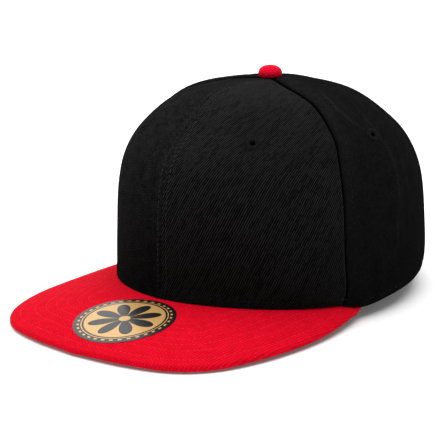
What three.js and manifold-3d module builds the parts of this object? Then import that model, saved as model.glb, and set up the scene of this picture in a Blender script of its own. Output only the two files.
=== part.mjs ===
// Six-panel snapback cap with a flat peak, standing on a table.
// X points to the wearer's left, the peak points to -Y and Z is up.
// Lengths are in millimetres and angles in degrees.
import * as THREE from 'three';
import { mergeVertices } from 'three/addons/utils/BufferGeometryUtils.js';
import Module from 'manifold-3d';

const wasm = await Module();
wasm.setup();

const rad = THREE.MathUtils.degToRad;
const quarterTurn = 90;
const halfTurn = 180;

// Crown
const rimHalfWidth = 86;
const rimFront = 97.5;      // from the middle of the rim to the peak's seam
const rimRear = 105;
const crownTop = 129.5;     // apex above the table
const apexSetback = 5;      // apex behind the middle of the rim
const clothWall = 1.8;      // twill with its backing
const frontSeamAngle = 68;  // between the front and the side panels, at the rim
const rearSeamAngle = 120;  // between the side and the rear panels
const seamSpread = 5;       // the front panels widen by this angle towards the apex
const apexHoleRadius = 5;   // gap in front of the apex that the button covers
const sideRimLift = 3.5;    // the rim stands higher beside the rear panels

// Peak
const peakLength = 69.8;
const peakHalfWidth = 90.2;
const peakBoard = 3;        // stiff board with its red cover
const underCloth = 1;
const underInset = 1.3;     // the cover wraps the edge by this much
const peakSeat = 17.6;      // top of the peak at the front of the rim
const peakTilt = 1.6;
const peakArch = 10.05;     // drop of the sides
const archPower = 2.8;      // the peak is flat in the middle and bends towards its sides
const peakDroop = 7.2;      // drop of the front edge
const tipDrop = 2.2;        // the ends dip where they are sewn in
const tipLength = 15;
const peakEndAngle = 77;    // where the peak's ends reach the rim

// Small pieces
const buttonRadius = 7.1;
const buttonHeight = 7.2;
const buttonPinRadius = 1.8;
const buttonPinLength = 4;
const eyeletRadius = 4.1;
const eyeletHole = 1.4;
const eyeletProud = 0.5;    // above and below the cloth
const eyeletRow = 0.615;    // share of the crown's rows
const stickerRadius = 28.1;
const stickerThickness = 0.4;
const stickerAhead = 32.3;  // from the rim to the sticker's middle
const stickerAside = 3.6;
const openingHalfWidth = 44;
const openingHeight = 47;
const strapWidth = 19;
const strapThickness = 1.6;
const strapOverlap = 12;    // sewn inside the rear panels at each end
const strapLap = 1.4;       // second layer where the two halves are snapped
const strapLapHalf = 30;    // half the length of that layer
const studRadius = 2.4;
const studHeight = 1.4;
const studPitch = 10.5;
const studCount = 5;

const clearance = 0.3;      // between neighbouring pieces
const seamInset = 0.2;      // a little over half of that, from each panel's edge to its seam

// Meridian of the crown. Height is a share of the way from the rim to the apex,
// the other columns are shares of the reach at the rim.
const crownRows = [
  { height: 0, front: 1, side: 1, rear: 1 },
  { height: 0.085, front: 0.975, side: 1.028, rear: 1.04 },
  { height: 0.24, front: 0.973, side: 1.014, rear: 1.065 },
  { height: 0.488, front: 0.957, side: 0.993, rear: 1.025 },
  { height: 0.66, front: 0.91, side: 0.94, rear: 0.91 },
  { height: 0.793, front: 0.78, side: 0.84, rear: 0.74 },
  { height: 0.926, front: 0.61, side: 0.6, rear: 0.51 },
  { height: 0.995, front: 0.41, side: 0.247, rear: 0.217 },
  { height: 1, front: 0, side: 0, rear: 0 },
];

// Right half of the peak's edge from the middle of the front to the end at the rim.
// Across is a share of the half width, ahead a share of the front edge's distance.
const peakRows = [
  { across: 0, ahead: 1 },
  { across: 0.349, ahead: 0.981 },
  { across: 0.635, ahead: 0.934 },
  { across: 0.825, ahead: 0.841 },
  { across: 0.932, ahead: 0.706 },
  { across: 0.986, ahead: 0.553 },
  { across: 1, ahead: 0.399 },
  { across: 0.976, ahead: 0.251 },
  { across: 0.93, ahead: 0.128 },
];

// Half of the button's outline, as shares of its radius and height.
const buttonRows = [
  { reach: 0.84, lift: 0 },
  { reach: 0.96, lift: 0.14 },
  { reach: 1, lift: 0.34 },
  { reach: 0.95, lift: 0.56 },
  { reach: 0.8, lift: 0.77 },
  { reach: 0.55, lift: 0.92 },
  { reach: 0.26, lift: 0.985 },
];

// Seams of one side at the rim, and how far each has turned at the apex.
const seams = {
  front: { angle: 0, turn: 0 },
  frontSide: { angle: frontSeamAngle, turn: seamSpread },
  rearSide: { angle: rearSeamAngle, turn: 0 },
  rear: { angle: halfTurn, turn: 0 },
};

// Panels of one side, between two seams. The eyelet's place is a share of the width.
const panels = [
  { name: 'front', from: seams.front, to: seams.frontSide, eyeletShare: 0.485 },
  { name: 'side', from: seams.frontSide, to: seams.rearSide, eyeletShare: 0.394 },
  { name: 'rear', from: seams.rearSide, to: seams.rear, eyeletShare: 0.5 },
];

// Soft folds of the side panels. Angles and rows at both ends of a fold,
// width in degrees, swell as a share of the cloth's thickness.
const sideFolds = [
  { angleTop: 75, angleFoot: 84, rowTop: 0.88, rowFoot: 0.6, width: 5, swell: 0.8 },
  { angleTop: 96, angleFoot: 86, rowTop: 0.9, rowFoot: 0.66, width: 4.5, swell: -0.9 },
  { angleTop: 89, angleFoot: 95, rowTop: 0.74, rowFoot: 0.2, width: 4, swell: 0.8 },
];

const levelRimRows = 0.06;  // share of the rows over which the rim's cut turns level

// Fineness of the meshes
const panelColumns = 10;
const panelLevels = 20;
const peakColumns = 40;
const peakDepths = 6;
const strapColumns = 24;
const strapLevels = 3;
const eyeletSides = 12;
const buttonSides = 20;
const stickerSides = 28;
const stickerRings = 4;
const studSides = 8;
const archSegments = 12;

// Smooth curve through one column of a table, at t from 0 to 1.
function along(rows, column, t) {
  const last = rows.length - 1;
  const u = Math.min(Math.max(t, 0), 1) * last;
  const i = Math.min(Math.floor(u), last - 1);
  const f = u - i;
  const b = rows[i][column];
  const c = rows[i + 1][column];
  const a = i > 0 ? rows[i - 1][column] : 2 * b - c;
  const d = i < last - 1 ? rows[i + 2][column] : 2 * c - b;
  const linear = c - a;
  const square = 2 * a - 5 * b + 4 * c - d;
  const cube = 3 * b - a - 3 * c + d;
  return (2 * b + f * (linear + f * (square + f * cube))) / 2;
}

// Edge of the peak, seen from above, at s from -1 to 1.
function peakEdge(s) {
  const across = along(peakRows, 'across', Math.abs(s)) * peakHalfWidth;
  const ahead = along(peakRows, 'ahead', Math.abs(s)) * (rimFront + peakLength);
  return new THREE.Vector2(Math.sign(s) * across, -ahead);
}

const peakEndY = -rimFront * Math.cos(rad(peakEndAngle));

// Height of the peak's top face.
function peakTop(x, y) {
  const ahead = Math.min(y + rimFront, 0) / peakLength;
  const slope = Math.tan(rad(peakTilt)) * (y + rimFront);
  const arch = peakArch * Math.abs(x / peakHalfWidth) ** archPower;
  const tip = tipDrop * THREE.MathUtils.smoothstep(y, peakEndY - tipLength, peakEndY);
  return peakSeat + slope - arch - tip - peakDroop * ahead ** 2;
}

// The whole cap leans forward, turning on the rear of its rim, until the peak touches the table.
const peakStack = peakBoard + clearance + underCloth;
let lean = Infinity;
for (let i = 0; i <= peakColumns; i += 1) {
  const edge = peakEdge((2 * i) / peakColumns - 1);
  lean = Math.min(lean, Math.atan2(peakTop(edge.x, edge.y) - peakStack, rimRear - edge.y));
}

// Angle from the front, from 0 to 180, on either side.
function turnFromFront(angle) {
  return THREE.MathUtils.radToDeg(Math.acos(Math.cos(rad(angle))));
}

// Height of the crown's rim: its inner edge is on the peak in front, then it goes down to the table.
function rimHeight(angle) {
  const turn = turnFromFront(angle);
  const x = rimHalfWidth * Math.sin(rad(angle));
  const y = -(turn < quarterTurn ? rimFront : rimRear) * Math.cos(rad(angle));
  const inward = 1 - clothWall / Math.hypot(x, y);
  const behind = THREE.MathUtils.clamp((turn - peakEndAngle) / (halfTurn - peakEndAngle), 0, 1);
  const blend = THREE.MathUtils.smoothstep(behind, 0, 1);
  const seated = peakTop(x * inward, Math.min(y, peakEndY) * inward) + clearance;
  return seated * (1 - blend) + sideRimLift * Math.sin(Math.PI * behind);
}

// Swell of the side panels' folds, in millimetres.
function foldSwell(angle, row) {
  const turn = turnFromFront(angle);
  let swell = 0;
  for (const fold of sideFolds) {
    const t = (fold.rowTop - row) / (fold.rowTop - fold.rowFoot);
    if (t > 0 && t < 1) {
      const middle = fold.angleTop + (fold.angleFoot - fold.angleTop) * t;
      const bell = Math.exp(-(((turn - middle) / fold.width) ** 2));
      swell += fold.swell * clothWall * bell * Math.sin(Math.PI * t);
    }
  }
  return swell;
}

// Point of the crown's outer face. Angle 0 is the front, 90 the wearer's left.
function crownPoint(angle, row) {
  const height = along(crownRows, 'height', row);
  const sine = Math.sin(rad(angle));
  const cosine = Math.cos(rad(angle));
  const forward = (rimFront + apexSetback) * along(crownRows, 'front', row);
  const backward = (rimRear - apexSetback) * along(crownRows, 'rear', row);
  const swell = foldSwell(angle, row);
  const x = rimHalfWidth * along(crownRows, 'side', row) * sine + swell * sine;
  const y = apexSetback - (cosine > 0 ? forward : backward) * cosine - swell * cosine;
  return new THREE.Vector3(x, y, rimHeight(angle) * (1 - height) + crownTop * height);
}

// Point at a depth under the crown's outer face. The wall is cut level along the rim.
function crownInside(angle, row, depth) {
  const step = 0.01;
  const around = crownPoint(angle + 1, row).sub(crownPoint(angle - 1, row));
  const upper = crownPoint(angle, Math.min(row + step, 1));
  const upward = upper.sub(crownPoint(angle, Math.max(row - step, 0)));
  const normal = around.cross(upward).normalize();
  normal.z *= Math.min(row / levelRimRows, 1);
  normal.normalize();
  return crownPoint(angle, row).addScaledVector(normal, -depth);
}

// Row where a column that rises or falls along the table reaches a value.
function rowAt(column, value) {
  const rising = crownRows.at(-1)[column] > crownRows[0][column];
  let low = 0;
  let high = 1;
  for (let i = 0; i < 40; i += 1) {
    const middle = (low + high) / 2;
    if (along(crownRows, column, middle) > value === rising) high = middle;
    else low = middle;
  }
  return low;
}

const topRow = rowAt('front', apexHoleRadius / (rimFront + apexSetback));

// Closed wall between two grids of points, the outer one first.
function wallGeometry(columns, levels, outer, inner) {
  const points = [];
  for (const side of [outer, inner]) {
    for (let j = 0; j <= levels; j += 1) {
      for (let i = 0; i <= columns; i += 1) points.push(side(i / columns, j / levels));
    }
  }
  const layer = (columns + 1) * (levels + 1);
  const at = (i, j, k) => k * layer + j * (columns + 1) + i;
  const faces = [];
  const quad = (a, b, c, d) => faces.push(a, b, c, a, c, d);
  for (let j = 0; j < levels; j += 1) {
    for (let i = 0; i < columns; i += 1) {
      quad(at(i, j, 0), at(i + 1, j, 0), at(i + 1, j + 1, 0), at(i, j + 1, 0));
      quad(at(i, j, 1), at(i, j + 1, 1), at(i + 1, j + 1, 1), at(i + 1, j, 1));
    }
    quad(at(0, j, 1), at(0, j, 0), at(0, j + 1, 0), at(0, j + 1, 1));
    quad(at(columns, j, 0), at(columns, j, 1), at(columns, j + 1, 1), at(columns, j + 1, 0));
  }
  for (let i = 0; i < columns; i += 1) {
    quad(at(i, 0, 1), at(i + 1, 0, 1), at(i + 1, 0, 0), at(i, 0, 0));
    quad(at(i, levels, 0), at(i + 1, levels, 0), at(i + 1, levels, 1), at(i, levels, 1));
  }
  const geometry = new THREE.BufferGeometry();
  geometry.setAttribute('position', new THREE.Float32BufferAttribute(points.flatMap((p) => p.toArray()), 3));
  geometry.setIndex(faces);
  return geometry;
}

function toSolid(geometry) {
  const bare = geometry.clone();
  bare.deleteAttribute('normal');
  bare.deleteAttribute('uv');
  const merged = mergeVertices(bare);
  return new wasm.Manifold(new wasm.Mesh({
    numProp: 3,
    vertProperties: new Float32Array(merged.attributes.position.array),
    triVerts: new Uint32Array(merged.index.array),
  }));
}

function toGeometry(solid) {
  const mesh = solid.getMesh();
  const geometry = new THREE.BufferGeometry();
  geometry.setAttribute('position', new THREE.BufferAttribute(mesh.vertProperties, 3));
  geometry.setIndex(new THREE.BufferAttribute(mesh.triVerts, 1));
  return geometry;
}

// Turns a shape made round the Z axis onto the crown, its axis along the wall's normal.
function seatOnCrown(geometry, angle, row, depth) {
  const spot = crownInside(angle, row, depth);
  const outward = crownPoint(angle, row).sub(crownInside(angle, row, 1));
  const turn = new THREE.Quaternion().setFromUnitVectors(new THREE.Vector3(0, 0, 1), outward);
  return geometry.applyQuaternion(turn).translate(spot.x, spot.y, spot.z);
}

// Solid of revolution round the Z axis from a profile of radius and height.
function turned(profile, sides) {
  const lathe = new THREE.LatheGeometry(profile.map(([radius, z]) => new THREE.Vector2(radius, z)), sides);
  return lathe.rotateX(Math.PI / 2);
}

// A seam turns near the apex alone.
function seamAngle(seam, row) {
  return seam.angle + seam.turn * row ** 8;
}

// Angle that a length takes up on the crown.
function angleOf(length, angle, row) {
  const spot = crownPoint(angle, row);
  return THREE.MathUtils.radToDeg(length / Math.hypot(spot.x, spot.y - apexSetback));
}

function eyeletAngle(panel) {
  const from = seamAngle(panel.from, eyeletRow);
  return from + (seamAngle(panel.to, eyeletRow) - from) * panel.eyeletShare;
}

// One gore of the crown, with half the clearance left at each seam and a hole for its eyelet.
function panelSolid(panel, side) {
  const place = (u, v, depth) => {
    const row = v * topRow;
    const from = seamAngle(panel.from, row);
    const to = seamAngle(panel.to, row);
    const start = from + angleOf(seamInset, from, row);
    const end = to - angleOf(seamInset, to, row);
    const across = side > 0 ? u : 1 - u;
    return crownInside(side * (start + (end - start) * across), row, depth);
  };
  const wall = wallGeometry(
    panelColumns, panelLevels,
    (u, v) => place(u, v, 0),
    (u, v) => place(u, v, clothWall),
  );
  const hole = new THREE.CylinderGeometry(
    eyeletRadius + clearance, eyeletRadius + clearance, 2 * eyeletRadius, eyeletSides,
  ).rotateX(Math.PI / 2);
  const cutter = seatOnCrown(hole, side * eyeletAngle(panel), eyeletRow, clothWall / 2);
  return toSolid(wall).subtract(toSolid(cutter));
}

// Half-moon opening that runs through both rear panels.
function openingSolid() {
  const arch = new THREE.Shape();
  arch.moveTo(-openingHalfWidth, -openingHeight);
  arch.lineTo(openingHalfWidth, -openingHeight);
  arch.lineTo(openingHalfWidth, 0);
  arch.absellipse(0, 0, openingHalfWidth, openingHeight, 0, Math.PI, false);
  arch.closePath();
  const cutter = new THREE.ExtrudeGeometry(arch, {
    depth: rimRear, bevelEnabled: false, curveSegments: archSegments,
  });
  return toSolid(cutter.rotateX(Math.PI / 2).translate(0, rimRear + rimHalfWidth / 2, 0));
}

// Ring of thread that lines the hole in a panel.
function eyeletGeometry(panel, side) {
  const half = clothWall / 2;
  const proud = half + eyeletProud;
  const middle = (eyeletRadius + eyeletHole) / 2;
  const ring = turned([
    [eyeletHole, -half],
    [middle, -proud],
    [eyeletRadius, -half],
    [eyeletRadius, half],
    [middle, proud],
    [eyeletHole, half],
    [eyeletHole, -half],
  ], eyeletSides);
  return seatOnCrown(ring, side * eyeletAngle(panel), eyeletRow, half);
}

// Layer of the peak, from the crown's inner wall out to the edge.
function peakLayer(topDepth, bottomDepth, edgeInset) {
  const spot = (u, v, depth) => {
    const s = 2 * u - 1;
    const foot = crownInside(s * peakEndAngle, 0, clothWall);
    const inner = new THREE.Vector2(foot.x, foot.y);
    const edge = peakEdge(s);
    const length = edge.distanceTo(inner);
    const inset = Math.min(edgeInset, length / 2);
    const flat = inner.lerp(edge, ((1 - v) * (length - inset)) / length);
    return new THREE.Vector3(flat.x, flat.y, peakTop(flat.x, flat.y) - depth);
  };
  return wallGeometry(
    peakColumns, peakDepths,
    (u, v) => spot(u, v, topDepth),
    (u, v) => spot(u, v, bottomDepth),
  );
}

// Round foil that follows the peak.
function stickerGeometry() {
  const profile = [];
  for (let ring = 0; ring <= stickerRings; ring += 1) {
    profile.push([(stickerRadius * ring) / stickerRings, clearance]);
  }
  for (let ring = stickerRings; ring >= 0; ring -= 1) {
    profile.push([(stickerRadius * ring) / stickerRings, clearance + stickerThickness]);
  }
  const foil = turned(profile, stickerSides).translate(stickerAside, -rimFront - stickerAhead, 0);
  const position = foil.attributes.position;
  for (let i = 0; i < position.count; i += 1) {
    position.setZ(i, position.getZ(i) + peakTop(position.getX(i), position.getY(i)));
  }
  return foil;
}

// Cloth-covered button with the pin that holds it in the apex.
function buttonGeometry() {
  const profile = [
    [0, -buttonPinLength],
    [buttonPinRadius, -buttonPinLength],
    [buttonPinRadius, clearance],
  ];
  for (const { reach, lift } of buttonRows) profile.push([buttonRadius * reach, clearance + buttonHeight * lift]);
  profile.push([0, clearance + buttonHeight]);
  return turned(profile, buttonSides).translate(0, apexSetback, crownTop);
}

// Snapped plastic strap that closes the rim behind, sewn inside the rear panels at its ends.
function strapGeometry() {
  const strapRow = rowAt('height', strapWidth / crownTop);
  const endAngle = angleOf(openingHalfWidth + strapOverlap, halfTurn, 0);
  const lapShare = strapLapHalf / (openingHalfWidth + strapOverlap);
  const face = clothWall + clearance;
  const lapFace = face - strapLap;
  const place = (u, v, depth) => crownInside(halfTurn + endAngle * (2 * u - 1), v * strapRow, depth);
  const band = wallGeometry(
    strapColumns, strapLevels,
    (u, v) => place(u, v, Math.abs(2 * u - 1) < lapShare ? lapFace : face),
    (u, v) => place(u, v, face + strapThickness),
  );
  let strap = toSolid(band);
  for (let i = 0; i < studCount; i += 1) {
    const angle = halfTurn + angleOf(studPitch * (i - (studCount - 1) / 2), halfTurn, 0);
    const stud = turned([
      [0, -strapLap / 2],
      [studRadius, -strapLap / 2],
      [studRadius, studHeight / 2],
      [studRadius - studHeight / 2, studHeight],
      [0, studHeight],
    ], studSides);
    strap = strap.add(toSolid(seatOnCrown(stud, angle, strapRow / 2, lapFace)));
  }
  return toGeometry(strap);
}

// Materials
const black = { color: 0x141416, roughness: 0.9, metalness: 0 };
const finishes = {
  twill: new THREE.MeshStandardMaterial({ name: 'black twill', ...black }),
  thread: new THREE.MeshStandardMaterial({ name: 'black thread', ...black, roughness: 0.8 }),
  red: new THREE.MeshStandardMaterial({ name: 'red twill', color: 0xe50022, roughness: 0.85, metalness: 0 }),
  dark: new THREE.MeshStandardMaterial({ name: 'dark under cloth', color: 0x1a1a1c, roughness: 0.9, metalness: 0 }),
  foil: new THREE.MeshStandardMaterial({ name: 'glossy foil', color: 0xb08a4a, roughness: 0.25, metalness: 0.6 }),
  plastic: new THREE.MeshStandardMaterial({ name: 'black plastic', color: 0x101010, roughness: 0.45, metalness: 0 }),
};

const cap = new THREE.Group();

function addPiece(name, geometry, finish) {
  const leaned = geometry.translate(0, -rimRear, 0).rotateX(lean).translate(0, rimRear, 0);
  const mesh = new THREE.Mesh(leaned, finishes[finish].clone());
  mesh.name = name;
  cap.add(mesh);
}

const opening = openingSolid();
for (const [sideName, side] of [['left', 1], ['right', -1]]) {
  for (const panel of panels) {
    const gore = panelSolid(panel, side);
    const open = panel.name === 'rear' ? gore.subtract(opening) : gore;
    addPiece(`crown_panel_${panel.name}_${sideName}`, toGeometry(open), 'twill');
    addPiece(`eyelet_${panel.name}_${sideName}`, eyeletGeometry(panel, side), 'thread');
  }
}
addPiece('top_button', buttonGeometry(), 'red');
addPiece('peak', peakLayer(0, peakBoard, 0), 'red');
addPiece('peak_underside', peakLayer(peakBoard + clearance, peakStack, underInset), 'dark');
addPiece('peak_sticker', stickerGeometry(), 'foil');
addPiece('snap_strap', strapGeometry(), 'plastic');

// The origin is on the table under the middle of the cap's length.
const bounds = new THREE.Box3().setFromObject(cap);
cap.position.y = -(bounds.min.y + bounds.max.y) / 2;

export default cap;
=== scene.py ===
# Looks of a six-panel snapback cap with a flat red peak, fitted round its solids.
# Lengths are in millimetres and angles in degrees until a mesh is written, in metres.
import math
import bpy
import numpy as np
from mathutils import Matrix, Vector


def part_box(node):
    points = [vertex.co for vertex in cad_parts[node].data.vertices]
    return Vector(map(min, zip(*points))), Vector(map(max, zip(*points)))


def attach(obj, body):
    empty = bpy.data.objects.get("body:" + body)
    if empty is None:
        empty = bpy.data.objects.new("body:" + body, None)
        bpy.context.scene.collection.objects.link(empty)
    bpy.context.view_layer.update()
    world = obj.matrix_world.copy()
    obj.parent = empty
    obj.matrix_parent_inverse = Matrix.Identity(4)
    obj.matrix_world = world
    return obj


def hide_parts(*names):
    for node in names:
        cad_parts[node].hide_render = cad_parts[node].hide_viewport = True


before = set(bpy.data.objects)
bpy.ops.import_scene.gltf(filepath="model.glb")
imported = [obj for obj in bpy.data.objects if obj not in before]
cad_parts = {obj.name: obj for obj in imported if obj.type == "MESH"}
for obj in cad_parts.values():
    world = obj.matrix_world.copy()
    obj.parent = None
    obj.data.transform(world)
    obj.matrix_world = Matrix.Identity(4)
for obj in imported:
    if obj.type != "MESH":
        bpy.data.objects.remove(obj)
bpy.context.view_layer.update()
mm = 0.001
print("Frame loaded")

# Sizes that the solids have too, and last the hang of the rim's corners beside the peak
cap = {
    "rimHalfWidth": 86, "rimFront": 97.5, "rimRear": 105, "crownTop": 129.5,
    "apexSetback": 5, "clothWall": 1.8, "sideRimLift": 3.5, "rimGap": 0.1,
    "apexHoleRadius": 5, "eyeletRow": 0.615, "levelRimRows": 0.06,
    "peakLength": 69.8, "peakHalfWidth": 90.2, "peakBoard": 3, "underCloth": 1,
    "underGap": 0.3, "peakSeat": 17.6, "peakTilt": 1.6, "peakArch": 10.05,
    "archPower": 2.8, "peakDroop": 7.2, "tipDrop": 2.2, "tipLength": 15, "peakEndAngle": 77,
    "openingHalfWidth": 44, "openingHeight": 47, "cornerHang": 1.2, "cornerSpread": 8,
}

# Meridian of the crown: height as a share of the way to the apex, the rest as shares of the rim
crownRows = [
    {"height": 0, "front": 1, "side": 1, "rear": 1},
    {"height": 0.085, "front": 0.975, "side": 1.028, "rear": 1.04},
    {"height": 0.24, "front": 0.973, "side": 1.014, "rear": 1.065},
    {"height": 0.488, "front": 0.957, "side": 0.993, "rear": 1.025},
    {"height": 0.66, "front": 0.91, "side": 0.94, "rear": 0.91},
    {"height": 0.793, "front": 0.78, "side": 0.84, "rear": 0.74},
    {"height": 0.926, "front": 0.61, "side": 0.6, "rear": 0.51},
    {"height": 0.995, "front": 0.41, "side": 0.247, "rear": 0.217},
    {"height": 1, "front": 0, "side": 0, "rear": 0},
]

# Half of the peak's edge, from the middle of the front to the end at the rim
peakRows = [
    {"across": 0, "ahead": 1}, {"across": 0.349, "ahead": 0.981},
    {"across": 0.635, "ahead": 0.934}, {"across": 0.825, "ahead": 0.841},
    {"across": 0.932, "ahead": 0.706}, {"across": 0.986, "ahead": 0.553},
    {"across": 1, "ahead": 0.399}, {"across": 0.976, "ahead": 0.251},
    {"across": 0.93, "ahead": 0.128},
]

# Soft folds of the side panels, swell as a share of the cloth's thickness
sideFolds = [
    {"angleTop": 75, "angleFoot": 84, "rowTop": 0.88, "rowFoot": 0.6, "width": 5, "swell": 0.8},
    {"angleTop": 96, "angleFoot": 86, "rowTop": 0.9, "rowFoot": 0.66, "width": 4.5, "swell": -0.9},
    {"angleTop": 89, "angleFoot": 95, "rowTop": 0.74, "rowFoot": 0.2, "width": 4, "swell": 0.8},
]

# Seams of one side at the rim, and how far each has turned by the apex
seams = {
    "front": {"angle": 0, "turn": 0},
    "frontSide": {"angle": 68, "turn": 5},
    "rearSide": {"angle": 120, "turn": 0},
    "rear": {"angle": 180, "turn": 0},
}


# Curves and surfaces that the cloth follows

def smoothStep(low, high, value):
    t = np.clip((value - low) / (high - low), 0, 1)
    return t * t * (3 - 2 * t)


def along(rows, column, t):  # smooth curve through one column of a table
    values = np.array([row[column] for row in rows], float)
    ends = np.concatenate([[2 * values[0] - values[1]], values, [2 * values[-1] - values[-2]]])
    u = np.clip(t, 0, 1) * (len(values) - 1)
    i = np.minimum(np.asarray(u).astype(int), len(values) - 2)
    f = u - i
    a, b, c, d = ends[i], ends[i + 1], ends[i + 2], ends[i + 3]
    return (2 * b + f * (c - a + f * (2 * a - 5 * b + 4 * c - d + f * (3 * b - a - 3 * c + d)))) / 2


def peakEdge(s):  # from -1 at the wearer's right end to 1 at the left one
    across = along(peakRows, "across", np.abs(s)) * cap["peakHalfWidth"]
    ahead = along(peakRows, "ahead", np.abs(s)) * (cap["rimFront"] + cap["peakLength"])
    return np.sign(s) * across, -ahead


peakEndY = -cap["rimFront"] * math.cos(math.radians(cap["peakEndAngle"]))
peakStack = cap["peakBoard"] + cap["underGap"] + cap["underCloth"]


def peakTop(x, y):  # height of the peak's top face
    ahead = np.minimum(y + cap["rimFront"], 0) / cap["peakLength"]
    slope = math.tan(math.radians(cap["peakTilt"])) * (y + cap["rimFront"])
    arch = cap["peakArch"] * np.abs(x / cap["peakHalfWidth"]) ** cap["archPower"]
    tip = cap["tipDrop"] * smoothStep(peakEndY - cap["tipLength"], peakEndY, y)
    return cap["peakSeat"] + slope - arch - tip - cap["peakDroop"] * ahead ** 2


def rimHeight(angle):  # on the peak in front, then down to the table
    turn = np.degrees(np.arccos(np.clip(np.cos(np.radians(angle)), -1, 1)))
    x = cap["rimHalfWidth"] * np.sin(np.radians(angle))
    reach = np.where(turn < 90, cap["rimFront"] + cap["apexSetback"], cap["rimRear"] - cap["apexSetback"])
    y = cap["apexSetback"] - reach * np.cos(np.radians(angle))
    inward = 1 - cap["clothWall"] / np.hypot(x, y)
    behind = np.clip((turn - cap["peakEndAngle"]) / (180 - cap["peakEndAngle"]), 0, 1)
    blend = smoothStep(0, 1, behind)
    seated = peakTop(x * inward, np.minimum(y, peakEndY) * inward) + cap["rimGap"]
    hang = cap["cornerHang"] * np.exp(-((turn - cap["peakEndAngle"] - 2) / cap["cornerSpread"]) ** 2)
    return seated * (1 - blend) + cap["sideRimLift"] * np.sin(np.pi * behind) - hang


def foldSwell(angle, row):
    turn = np.degrees(np.arccos(np.clip(np.cos(np.radians(angle)), -1, 1)))
    swell = 0
    for fold in sideFolds:
        t = np.clip((fold["rowTop"] - row) / (fold["rowTop"] - fold["rowFoot"]), 0, 1)
        middle = fold["angleTop"] + (fold["angleFoot"] - fold["angleTop"]) * t
        bell = np.exp(-((turn - middle) / fold["width"]) ** 2)
        swell = swell + fold["swell"] * cap["clothWall"] * bell * np.sin(np.pi * t)
    return swell


def crownPoint(angle, row):  # outer face; angle 0 is the front, 90 the wearer's left
    height = along(crownRows, "height", row)
    sine, cosine = np.sin(np.radians(angle)), np.cos(np.radians(angle))
    forward = (cap["rimFront"] + cap["apexSetback"]) * along(crownRows, "front", row)
    backward = (cap["rimRear"] - cap["apexSetback"]) * along(crownRows, "rear", row)
    swell = foldSwell(angle, row)
    x = cap["rimHalfWidth"] * along(crownRows, "side", row) * sine + swell * sine
    y = cap["apexSetback"] - np.where(cosine > 0, forward, backward) * cosine - swell * cosine
    z = rimHeight(angle) * (1 - height) + cap["crownTop"] * height
    return np.stack(np.broadcast_arrays(x, y, z), -1)


def unit(vectors):
    return vectors / np.linalg.norm(vectors, axis=-1, keepdims=True)


def crownNormal(angle, row):
    around = crownPoint(angle + 1, row) - crownPoint(angle - 1, row)
    upward = crownPoint(angle, np.minimum(row + 0.01, 1)) - crownPoint(angle, np.maximum(row - 0.01, 0))
    normal = unit(np.cross(around, upward))
    normal[..., 2] *= np.minimum(row / cap["levelRimRows"], 1)  # the rim's cut is level
    return unit(normal)


def rowAt(column, value):
    rows = np.linspace(0, 1, 2001)
    values = along(crownRows, column, rows)
    order = np.argsort(values)
    return float(np.interp(value, values[order], rows[order]))


def seamAngle(name, row):
    return seams[name]["angle"] + seams[name]["turn"] * np.asarray(row, float) ** 8


def angleOf(length, angle, row):  # angle that a length takes up on the crown
    spot = crownPoint(angle, row)
    return np.degrees(length / np.hypot(spot[..., 0], spot[..., 1] - cap["apexSetback"]))


def archRow(angle, halfWidth, height):  # row where a meridian leaves the half-moon opening
    low, high = np.zeros(np.shape(angle)), np.full(np.shape(angle), 0.6)
    for _ in range(40):
        middle = (low + high) / 2
        spot = crownPoint(angle, middle)
        inside = (spot[..., 0] / halfWidth) ** 2 + (spot[..., 2] / height) ** 2 < 1
        low, high = np.where(inside, middle, low), np.where(inside, high, middle)
    return low


topRow = rowAt("front", cap["apexHoleRadius"] / (cap["rimFront"] + cap["apexSetback"]))


# The cap leans forward, turning on the rear of its rim, until the peak touches the table

edgeX, edgeY = peakEdge(np.linspace(-1, 1, 41))
lean = float(np.arctan2(peakTop(edgeX, edgeY) - peakStack, cap["rimRear"] - edgeY).min())
frontTop = float(peakTop(0, edgeY.min()))
frontReach = (edgeY.min() - cap["rimRear"]) * math.cos(lean) - frontTop * math.sin(lean) + cap["rimRear"]
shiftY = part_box("peak")[0].y / mm - frontReach  # the frame's origin is under the middle of the length
pivot = Matrix.Translation((0, cap["rimRear"] * mm, 0))
stance = Matrix.Translation((0, shiftY * mm, 0)) @ pivot @ Matrix.Rotation(lean, 4, "X") @ pivot.inverted()
edgeX, edgeY = peakEdge(np.linspace(-1, 1, 801))
print("Lean", round(math.degrees(lean), 2), "shift", round(shiftY, 2))


# Camera

photoCamera = {
    "azimuth": 39.68, "elevation": 14.22, "roll": -0.83, "distance": 854,
    "right": -29.03, "up": 42.49, "focalPixels": 1391.4, "photoPixels": 438, "sensor": 36,
    "clipStart": 0.01, "clipEnd": 200,
}


def addCamera(look):
    azimuth, elevation, roll = (math.radians(look[key]) for key in ("azimuth", "elevation", "roll"))
    back = Vector((math.sin(azimuth) * math.cos(elevation), -math.cos(azimuth) * math.cos(elevation),
                   math.sin(elevation)))
    level = Vector((math.cos(azimuth), math.sin(azimuth), 0))
    upright = back.cross(level)
    right = level * math.cos(roll) + upright * math.sin(roll)
    up = upright * math.cos(roll) - level * math.sin(roll)
    place = (back * look["distance"] + right * look["right"] + up * look["up"]) * mm
    turn = Matrix((right, up, back)).transposed().to_4x4()
    bpy.ops.object.camera_add()
    camera = bpy.context.object
    camera.matrix_world = stance @ Matrix.Translation(place) @ turn
    camera.data.sensor_width = look["sensor"]
    camera.data.lens = look["focalPixels"] * look["sensor"] / look["photoPixels"]
    camera.data.clip_start = look["clipStart"]
    camera.data.clip_end = look["clipEnd"]
    bpy.context.scene.camera = camera


addCamera(photoCamera)
print("Camera set")


# Mesh helpers

def deselectAll():
    bpy.ops.object.select_all(action="DESELECT")


def lastAdded(name):
    piece = bpy.context.object
    piece.name = piece.data.name = name
    return piece


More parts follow.
